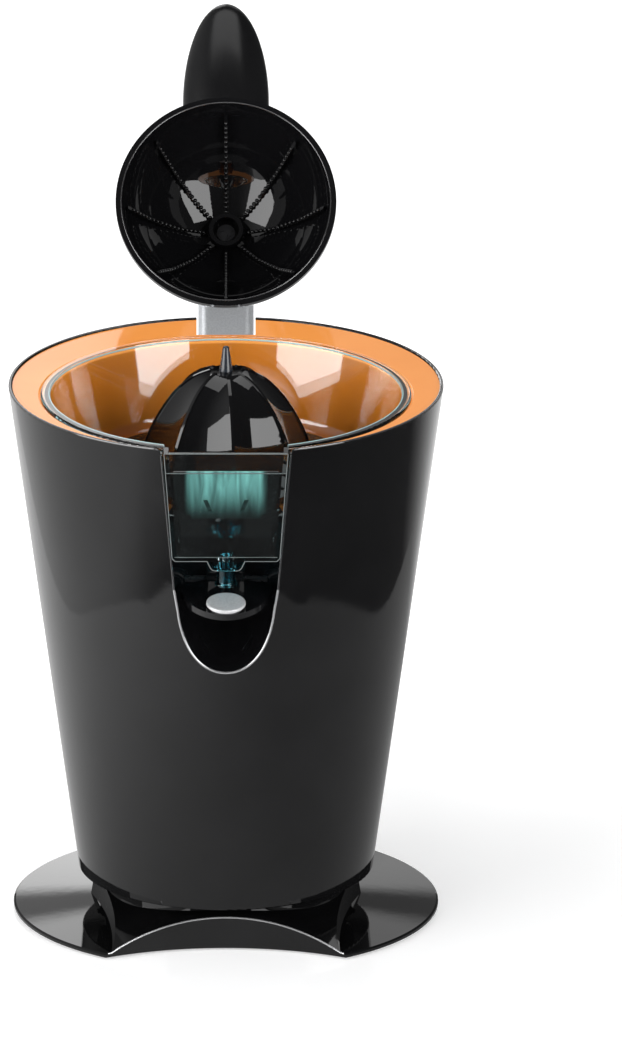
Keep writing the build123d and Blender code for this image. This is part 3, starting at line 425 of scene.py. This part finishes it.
MATERIALS = {
    "shell_black": gloss_black(),
    "seat_orange": seat_orange(),
    "niche_black": mirror_black(),
    "inner_plastic": moulded_plastic(),
    "steel": turned_steel(),
    "rubber_black": rubber(),
    "motor_steel": plated_steel(),
    "motor_iron": laminated_iron(),
    "bronze": sintered_bronze(),
    "gear_nylon": gear_nylon(),
    "button_red": button_red(),
    "bowl_clear": bowl_clear(),
    "nozzle_clear": nozzle_clear(),
    "reamer_black": mirror_black(),
    "point_black": point_black(),
    "pad_silver": pad_silver(),
    "arm_silver": satin_silver(),
    "handle_black": satin_black(),
    "cup_black": mirror_black(),
    "apron_black": apron_black(),
    "screw_black": blackened_steel(),
}
POLISHED_EDGE = polished_edge()
PAINTED_HIGHLIGHT_EDGE = painted_highlight_edge()


def dress_cad_nodes():
    """Every CAD node takes the material of its slot in the record."""
    for subpart in frame["record"]["subparts"]:
        node = frame["nodes"][subpart["node"]]
        node.data.materials.clear()
        node.data.materials.append(MATERIALS[subpart["material_slot"]])


def squash_spring():
    """The spindle spring gets a mesh of its own."""
    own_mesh(frame["nodes"]["spindle_spring"])


# ---- pieces ----

def piece_from(mesh, name, material, body):
    piece = bpy.data.objects.new(name, mesh)
    bpy.context.scene.collection.objects.link(piece)
    mesh.materials.clear()
    mesh.materials.append(material)
    for face in mesh.polygons:
        face.use_smooth = True
    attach(piece, body)
    return piece


def bead_mesh(name, points, radius, closed=False):
    """A round bead along a smooth line through the points."""
    curve = bpy.data.curves.new(name, "CURVE")
    curve.dimensions = "3D"
    curve.bevel_depth = radius
    curve.bevel_resolution = 3
    curve.use_fill_caps = not closed
    line = curve.splines.new("POLY")
    line.points.add(len(points) - 1)
    for spot, point in zip(line.points, points):
        spot.co = (*point, 1)
    line.use_cyclic_u = closed
    holder = bpy.data.objects.new(name, curve)
    bpy.context.scene.collection.objects.link(holder)
    graph = bpy.context.evaluated_depsgraph_get()
    mesh = bpy.data.meshes.new_from_object(holder.evaluated_get(graph))
    bpy.data.objects.remove(holder)
    bpy.data.curves.remove(curve)
    return mesh


def shell_r(z):
    """Outer radius of the shell at a height."""
    return RIM_R - (RIM_R - BASE_R) * (RIM_Z - z) / (RIM_Z - BASE_Z)


def bezier(points, count):
    """Points along one cubic curve with four control points."""
    a, b, c, d = (Vector(p) for p in points)
    out = []
    for i in range(count + 1):
        t = i / count
        s = 1 - t
        out.append(a * s**3 + b * 3 * s * s * t + c * 3 * s * t * t + d * t**3)
    return out


def opened(point):
    """A place on the closed arm, carried to where it is with the arm open."""
    return Matrix.Rotation(OPEN_ANGLE, 3, "X") @ (Vector(point) - PIVOT) + PIVOT


def slot_half(z):
    """Half the width of the front slot at a height above its rounded end."""
    if z > SLOT_LOW_Z:
        return SLOT_LOW_HALF + (SLOT_TOP_HALF - SLOT_LOW_HALF) * (z - SLOT_LOW_Z) / (RIM_Z - SLOT_LOW_Z)
    share = (z - SLOT_WAIST_Z) / (SLOT_LOW_Z - SLOT_WAIST_Z)
    return SLOT_WAIST_HALF + (SLOT_LOW_HALF - SLOT_WAIST_HALF) * share


def on_shell(x, z, out=0.0):
    """The place on the front of the shell at x and z, a little way out."""
    return Vector((x, -math.sqrt((shell_r(z) + out) ** 2 - x * x), z))


def slot_line(out):
    """The slot's edge on the shell, from the top left round the end to the top right."""
    right = [(slot_half(z), z) for z in (SLOT_LINE_TOP_Z, 236 * MM, 210 * MM, SLOT_LOW_Z, SLOT_WAIST_Z)]
    bend = bezier(
        ((SLOT_WAIST_HALF, SLOT_WAIST_Z, 0), (20.4 * MM, 155.5 * MM, 0), (13.4 * MM, SLOT_END_Z, 0),
         (0, SLOT_END_Z, 0)), 18,
    )
    half = right + [(p.x, p.y) for p in bend[1:]]
    whole = [(-x, z) for x, z in half] + [(x, z) for x, z in reversed(half[:-1])]
    return [on_shell(x, z, out) for x, z in whole]


def slot_edge():
    """The buffed edge of the slot: its lower part is a silver bead as a painted highlight line, its sides polished
    black.
    """
    line = slot_line(-0.1 * MM)
    turn = sum(point.z > SLOT_PAINTED_HIGHLIGHT_Z for point in line) // 2
    # Painted highlight: the lower part of the slot's edge bead is silver metal.
    bright = bead_mesh("slot_edge_low", line[turn - 1:len(line) - turn + 1], 0.55 * MM)
    piece_from(bright, "slot_edge_low", PAINTED_HIGHLIGHT_EDGE, "housing")
    for name, points in (("slot_edge_left", line[:turn]), ("slot_edge_right", line[-turn:])):
        piece_from(bead_mesh(name, points, 0.5 * MM), name, POLISHED_EDGE, "housing")


def rim_edge():
    """The buffed top edge of the shell, open at the slot and at the arm's notch."""
    start = math.asin((SLOT_TOP_HALF + 3 * MM) / RIM_R)
    end = math.pi - math.asin(NOTCH_HALF / RIM_R)
    steps = 72
    for name, side in (("rim_edge_left", -1), ("rim_edge_right", 1)):
        points = []
        for i in range(steps + 1):
            angle = start + (end - start) * i / steps
            across, along = side * RIM_EDGE_R * math.sin(angle), -RIM_EDGE_R * math.cos(angle)
            points.append((across, along, RIM_Z - 0.35 * MM))
        piece_from(bead_mesh(name, points, 0.4 * MM), name, POLISHED_EDGE, "housing")


def rib_teeth():
    """The row of small teeth along each rib inside the press cup."""
    mesh = bpy.data.meshes.new("rib_teeth")
    build = bmesh.new()
    corners = [Vector((r * MM, h * MM)) for r, h in RIB_CREST]
    for rib in range(RIB_COUNT):
        turn = Matrix.Rotation(2 * math.pi * rib / RIB_COUNT, 3, "Z")
        for i in range(TEETH_PER_RIB):
            share = FIRST_TOOTH + (LAST_TOOTH - FIRST_TOOTH) * i / (TEETH_PER_RIB - 1)
            k = min(2, int(share))
            spot = corners[k].lerp(corners[k + 1], share - k)
            along = (corners[k + 1] - corners[k]).normalized()
            inward = Vector((-along.y, along.x)) * (-1 if along.x < 0 else 1)
            spot = spot + inward * 0.2 * MM
            local = Vector((spot.x, 0, spot.y))
            place = opened(turn @ local + Vector((0, AXIS_Y, CUP_RIM_Z)))
            ball = bmesh.ops.create_icosphere(build, subdivisions=2, radius=1.0)
            tilt = Matrix.Rotation(OPEN_ANGLE, 3, "X") @ turn @ Matrix.Rotation(
                math.atan2(along.x, along.y), 3, "Y")
            shape = (Matrix.Translation(place) @ tilt.to_4x4() @ Matrix.Diagonal((*TOOTH, 1)))
            bmesh.ops.transform(build, matrix=shape, verts=ball["verts"])
    build.to_mesh(mesh)
    build.free()
    piece_from(mesh, "rib_teeth", MATERIALS["cup_black"], "arm")


def cup_rim_line():
    """The polished inner edge of the press cup's rim."""
    points = []
    steps = 96
    for i in range(steps):
        angle = 2 * math.pi * i / steps
        spot = (CUP_MOUTH_R * math.cos(angle), AXIS_Y + CUP_MOUTH_R * math.sin(angle), CUP_RIM_Z)
        points.append(opened(spot))
    mesh = bead_mesh("cup_rim_line", points, 0.3 * MM, closed=True)
    piece_from(mesh, "cup_rim_line", POLISHED_EDGE, "arm")


def bowl_rim_line():
    """The inner lip of the bowl's clear rim, drawn bright with a painted glow."""
    points = []
    start = math.asin(WINDOW_TOP_HALF / BOWL_MOUTH_R)
    steps = 120
    for i in range(steps + 1):
        angle = start + (2 * math.pi - 2 * start) * i / steps
        points.append((BOWL_MOUTH_R * math.sin(angle), AXIS_Y - BOWL_MOUTH_R * math.cos(angle),
                       WINDOW_HIGH.z - 0.9 * MM))
    mesh = bead_mesh("bowl_rim_line", points, 0.45 * MM)
    piece_from(mesh, "bowl_rim_line", lip_clear_painted_glow(), "bowl")


def window_spot(x, z, back=0.0):
    """A place on the window's front, or that far behind it."""
    share = (z - WINDOW_LOW.z) / (WINDOW_TOP_Z - WINDOW_LOW.z)
    return Vector((x, WINDOW_LOW_Y + (WINDOW_TOP_Y - WINDOW_LOW_Y) * share + back, z))


def across_window(half, z, back):
    """The two ends of a level line across the window."""
    return [window_spot(x, z, back) for x in (-half, half)]


def window_lines():
    """The edges of the clear window, drawn pale with a painted glow: its frame with the trough below, and its
    brow.
    """
    low = WINDOW_LOW.z + 0.3 * MM
    right = [(WINDOW_TOP_HALF, WINDOW_TOP_Z), (WINDOW_LOW_HALF + 0.2 * MM, low + 1.4 * MM),
             (WINDOW_LOW_HALF - 1.2 * MM, low)] + [(x * MM, low - depth * MM) for x, depth in TROUGH]
    frame_line = [window_spot(-x, z) for x, z in right] + [window_spot(x, z) for x, z in reversed(right)]
    lines = {
        "window_frame_line": (frame_line, 0.2 * MM),
        "window_top_line": (across_window(WINDOW_TOP_HALF, WINDOW_TOP_Z, 0.0), 0.26 * MM),
        "window_brow_line": (across_window(WINDOW_TOP_HALF - 1.2 * MM, WINDOW_BROW_Z, 1 * MM), 0.22 * MM),
        "window_sill_line": (across_window(WINDOW_LOW_HALF - 1 * MM, low + 2 * MM, 0.2 * MM), 0.2 * MM),
    }
    material = clear_edge_painted_glow()
    for name, (points, radius) in lines.items():
        piece_from(bead_mesh(name, points, radius), name, material, "bowl")


def on_bite(spot):
    """Whether a place is on the wall of the foot's round front bite."""
    away = math.hypot(spot.x, spot.y + BITE_NEAR_Y + BITE_R)
    return spot.y < 0 and abs(spot.x) < BITE_HALF and abs(away - BITE_R) < 0.3 * MM


def arch_edge():
    """The polished edge where the foot's hub ends over its front bite, drawn as a silver bead as a painted
    highlight.
    """
    build = bmesh.new()
    build.from_mesh(frame["nodes"]["foot_plate"].data)
    bmesh.ops.remove_doubles(build, verts=build.verts, dist=0.00001)
    spots = set()
    for edge in build.edges:
        if len(edge.link_faces) == 2 and edge.calc_face_angle() > 0.6:
            ends = [vert.co for vert in edge.verts]
            if all(on_bite(end) and end.z > BITE_LINE_LOW_Z for end in ends):
                spots.update((round(end.x, 5), round(end.y, 5), round(end.z, 5)) for end in ends)
    build.free()
    line = []
    for spot in sorted(spots):
        if not line or spot[0] - line[-1][0] > 0.4 * MM:
            line.append(spot)
    mesh = bead_mesh("arch_edge", line, 0.4 * MM)
    # Painted highlight: the arch's edge bead is silver metal on the black foot.
    piece_from(mesh, "arch_edge", PAINTED_HIGHLIGHT_EDGE, "housing")


dress_cad_nodes()
squash_spring()
window_lines()
arch_edge()
slot_edge()
rim_edge()
rib_teeth()
cup_rim_line()
bowl_rim_line()


# ---- camera, floor and light ----

FRAME_HEIGHT = 0.4837
FRAME_CENTRE_Z = 0.1836
VIEW_UP = math.radians(18.5)
CAMERA_AWAY = 12.0
SENSOR = 36.0
FRAME_SHIFT = 0.0808
FLOOR_HALF = 12.0
SOFTBOX_AWAY = 1.4

# The round lit table that the gloss pieces mirror, and the dim room past its edge
TABLE_R = 0.356
ROOM_DARK = 0.07


def add_camera():
    data = bpy.data.cameras.new("camera")
    data.lens = SENSOR * CAMERA_AWAY / FRAME_HEIGHT
    data.sensor_width = SENSOR
    data.shift_x = FRAME_SHIFT
    data.clip_end = 60
    camera = bpy.data.objects.new("camera", data)
    bpy.context.scene.collection.objects.link(camera)
    camera.location = (
        0, -CAMERA_AWAY * math.cos(VIEW_UP), FRAME_CENTRE_Z + CAMERA_AWAY * math.sin(VIEW_UP)
    )
    camera.rotation_euler = (math.pi / 2 - VIEW_UP, 0, 0)
    bpy.context.scene.camera = camera


def add_sheet(name, corners, material):
    """A flat stage piece with four corners."""
    mesh = bpy.data.meshes.new(name)
    mesh.from_pydata(corners, [], [(0, 1, 2, 3)])
    mesh.materials.append(material)
    sheet = bpy.data.objects.new(name, mesh)
    bpy.context.scene.collection.objects.link(sheet)
    return sheet


def level(x, y, z):
    """The corners of a level rectangle between its (low, high) pairs."""
    return [(x[0], y[0], z), (x[1], y[0], z), (x[1], y[1], z), (x[0], y[1], z)]


def add_floor():
    """White floor with a painted glow that is weaker near the object, leaving it a little dimmer there as painted
    shade.
    """
    surface = Surface("floor_white", (0.86, 0.86, 0.865), 0.12)
    surface.shader.inputs["Emission Color"].default_value = (1, 1, 1, 1)
    length = surface.nodes.new("ShaderNodeVectorMath")
    length.operation = "LENGTH"
    surface.links.new(surface.place, length.inputs[0])
    # Painted shade: the floor's glow rises from 0.42 near the object to 1.0 past 0.6 m.
    shine = ramp_value(surface.nodes, surface.links, length.outputs["Value"], 0.15, 0.6, 0.42, 1.0)
    surface.links.new(shine, surface.shader.inputs["Emission Strength"])
    surface.roughness(0.09, 0.14, 6)
    span = (-FLOOR_HALF, FLOOR_HALF)
    floor = add_sheet("floor", level(span, span, -0.0002), surface.material)
    floor.visible_glossy = False
    floor.visible_transmission = False


def add_card(name, corners, light):
    """A glowing sheet that is seen only in gloss and through clear plastic."""
    card = add_sheet(name, corners, glow(name, light))
    card.visible_camera = False
    card.visible_diffuse = False
    card.visible_shadow = False


def glow(name, build):
    """An emission material whose strength is made by build from the object's coordinates."""
    material = bpy.data.materials.new(name)
    material.use_nodes = True
    nodes, links = material.node_tree.nodes, material.node_tree.links
    nodes.clear()
    out = nodes.new("ShaderNodeOutputMaterial")
    emission = nodes.new("ShaderNodeEmission")
    split = nodes.new("ShaderNodeSeparateXYZ")
    links.new(nodes.new("ShaderNodeTexCoord").outputs["Object"], split.inputs["Vector"])
    links.new(build(nodes, links, split), emission.inputs["Strength"])
    links.new(emission.outputs["Emission"], out.inputs["Surface"])
    return material


def table_light(nodes, links, split):
    """The lit table top: round in front, brightest on the left and at the back."""
    across = ramp_value(nodes, links, split.outputs["X"], -0.42, 0.15, 1.2, 0.36)
    length = nodes.new("ShaderNodeVectorMath")
    length.operation = "LENGTH"
    spot = nodes.new("ShaderNodeCombineXYZ")
    front = nodes.new("ShaderNodeMath")
    front.operation = "MINIMUM"
    front.inputs[1].default_value = 0.0
    links.new(split.outputs["Y"], front.inputs[0])
    links.new(split.outputs["X"], spot.inputs["X"])
    links.new(front.outputs["Value"], spot.inputs["Y"])
    links.new(spot.outputs["Vector"], length.inputs[0])
    inside = ramp_value(nodes, links, length.outputs["Value"], TABLE_R, TABLE_R + 0.01, 1.0, 0.0)
    lit = combine(nodes, links, "MULTIPLY", across, inside)
    back = ramp_value(nodes, links, split.outputs["Y"], 0.15, 0.6, 0.0, 1.0)
    left = ramp_value(nodes, links, split.outputs["X"], -0.38, -0.17, 0.95, ROOM_DARK)
    edge = combine(nodes, links, "MAXIMUM", left, back)
    return combine(nodes, links, "MAXIMUM", lit, edge)


def backdrop_light(nodes, links, split):
    """The bright backdrop: a left and a right panel, brighter at their foot and their head."""
    left = ramp_value(nodes, links, split.outputs["X"], -0.1, 0.02, 1.3, 0.28)
    right = ramp_value(nodes, links, split.outputs["X"], 0.06, 0.14, 0.0, 0.45)
    low = ramp_value(nodes, links, split.outputs["Z"], 0.5, 0.57, 2.0, 0.4)
    high = ramp_value(nodes, links, split.outputs["Z"], 0.6, 0.7, 0.0, 1.6)
    height = combine(nodes, links, "MAXIMUM", low, high)
    return combine(nodes, links, "MULTIPLY", combine(nodes, links, "MAXIMUM", left, right), height)


def add_cards():
    add_card("table_card", level((-1.0, 1.0), (-0.9, 3.0), -0.003), table_light)
    backdrop = [(-0.55, 1.6, 0.34), (0.7, 1.6, 0.34), (0.7, 1.6, 1.6), (-0.55, 1.6, 1.6)]
    add_card("backdrop_card", backdrop, backdrop_light)


def panel_light(name, width, height, radiance):
    data = bpy.data.lights.new(name, "AREA")
    data.shape = "RECTANGLE"
    data.size = width
    data.size_y = height
    data.energy = radiance * math.pi * width * height
    lamp = bpy.data.objects.new(name, data)
    bpy.context.scene.collection.objects.link(lamp)
    lamp.visible_camera = False
    return lamp


def softbox(name, azimuth, width, low, high, radiance):
    """An upright light panel. Azimuth is counted from the front, towards +X."""
    angle = math.radians(azimuth)
    lamp = panel_light(name, width, high - low, radiance)
    lamp.location = (SOFTBOX_AWAY * math.sin(angle), -SOFTBOX_AWAY * math.cos(angle), (low + high) / 2)
    lamp.rotation_euler = (math.pi / 2, 0, angle)


def add_lights():
    softbox("softbox_right", 43, 0.95, 0.0, 1.2, 5.5)
    softbox("softbox_left", -58, 1.25, -0.3, 1.2, 5.0)
    overhead = panel_light("overhead", 1.5, 1.2, 1.9)
    overhead.location = (0, 0.35, 1.9)


def add_world():
    """Dim studio room: greyer on the left, darker on the right."""
    world = bpy.data.worlds.new("room")
    world.use_nodes = True
    nodes, links = world.node_tree.nodes, world.node_tree.links
    split = nodes.new("ShaderNodeSeparateXYZ")
    links.new(nodes.new("ShaderNodeTexCoord").outputs["Generated"], split.inputs["Vector"])
    strength = ramp_value(nodes, links, split.outputs["X"], -0.8, -0.25, 0.5, ROOM_DARK)
    nodes["Background"].inputs["Color"].default_value = (1, 1, 1, 1)
    links.new(strength, nodes["Background"].inputs["Strength"])
    bpy.context.scene.world = world


add_camera()
add_floor()
add_cards()
add_lights()
add_world()
bpy.context.scene.view_settings.view_transform = "Standard"
